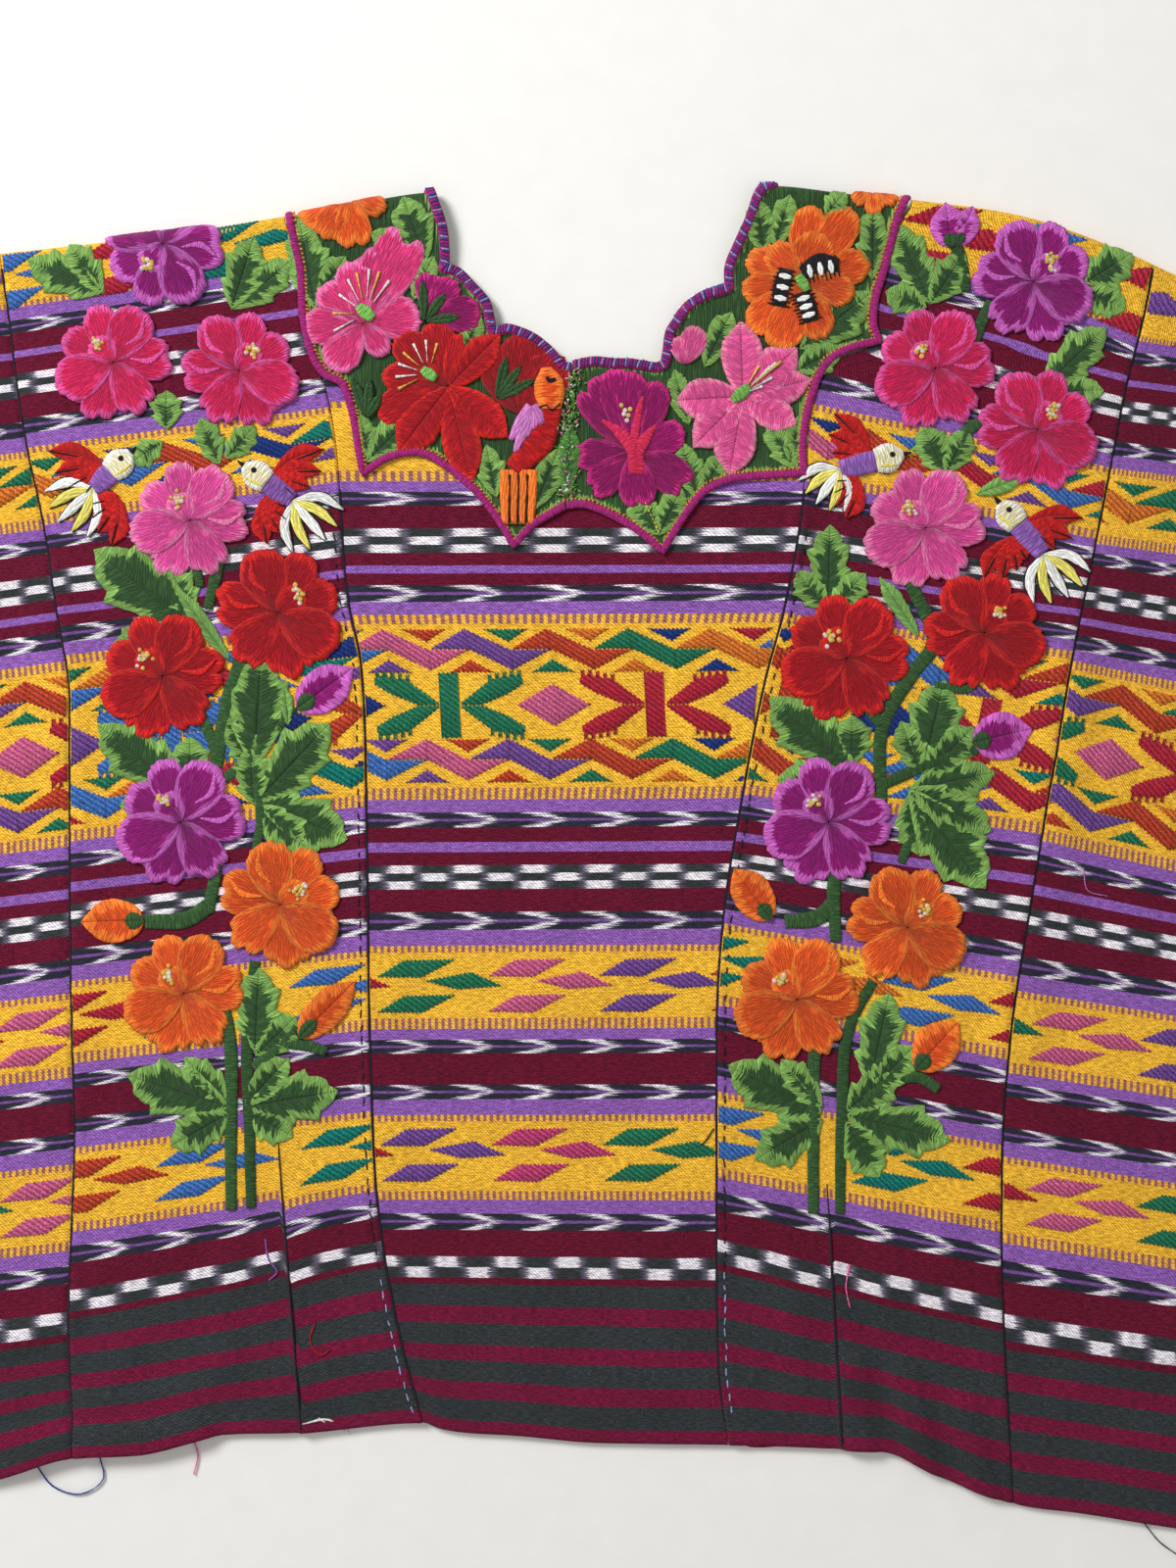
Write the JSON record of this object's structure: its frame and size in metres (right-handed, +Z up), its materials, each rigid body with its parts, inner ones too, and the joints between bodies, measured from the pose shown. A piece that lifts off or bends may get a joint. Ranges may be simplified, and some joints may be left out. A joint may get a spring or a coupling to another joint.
{
  "type": "huipil blouse laid flat",
  "caption": "Handwoven banded cotton huipil blouse laid flat, front up, with rose-embroidered strips, a scalloped stitched yoke and an open neck.",
  "frame": {"origin": "middle of the bounding box, on the surface that the blouse lies on", "axes": "+X to the viewer's right across the laid blouse, +Y from the hem to the shoulders, +Z up out of the front"},
  "size_m": [0.72, 0.678, 0.0093],
  "materials": {
    "banded_cloth": "matte handwoven cotton in bands",
    "flower_strip": "matte handwoven cotton with satin-stitched flowers",
    "yoke": "solid satin stitching with a soft sheen",
    "yoke_binding": "matte cotton binding",
    "neck_binding": "overcast cotton thread"
  },
  "bodies": {
    "root": {"center_front": "banded_cloth", "center_back": "banded_cloth", "side_panel_left": "banded_cloth", "side_panel_right": "banded_cloth", "flower_strip_left": "flower_strip", "flower_strip_right": "flower_strip", "yoke_left": "yoke", "yoke_right": "yoke", "yoke_binding_left": "yoke_binding", "yoke_binding_right": "yoke_binding", "neck_binding_left": "neck_binding", "neck_binding_right": "neck_binding"}
  },
  "joints": []
}
